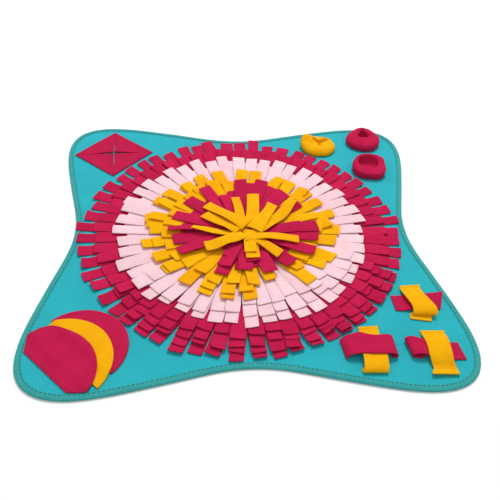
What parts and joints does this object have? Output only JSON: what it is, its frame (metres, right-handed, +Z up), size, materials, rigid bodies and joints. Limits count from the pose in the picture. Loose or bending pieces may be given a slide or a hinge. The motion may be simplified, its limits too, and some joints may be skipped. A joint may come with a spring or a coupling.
{
  "type": "snuffle mat",
  "caption": "Flat felt pet feeding mat with rings of fleece fringe round a centre flower, and flaps, cups, crossed straps and a slit pocket at its corners.",
  "frame": {"origin": "middle of the mat's underside, on the surface it lies on", "axes": "+Z up through the mat, +Y towards the rear edge between the slit pocket and the cups, +X towards the side of the cups and the crossed straps"},
  "size_m": [0.7, 0.7, 0.0353],
  "materials": {
    "teal": "flat needled felt, matt",
    "binding": "ribbed binding tape, matt",
    "crimson": "soft fleece, matt",
    "pink": "soft fleece, matt",
    "yellow": "soft fleece, matt"
  },
  "bodies": {
    "root": {"panel": "teal", "binding": "binding", "fringe_crimson_outer": "crimson", "fringe_crimson_middle": "crimson", "fringe_crimson_inner": "crimson", "fringe_centre_crimson": "crimson", "pocket_diamond": "crimson", "flap_back": "crimson", "flap_front": "crimson", "cup_crimson_rear": "crimson", "cup_crimson_front": "crimson", "strap_rear_under": "crimson", "strap_left_over": "crimson", "strap_right_under": "crimson", "fringe_pink_outer": "pink", "fringe_pink_inner": "pink", "fringe_yellow": "yellow", "fringe_flower": "yellow", "flap_middle": "yellow", "cup_yellow": "yellow", "strap_rear_over": "yellow", "strap_left_under": "yellow", "strap_right_over": "yellow"}
  },
  "joints": []
}
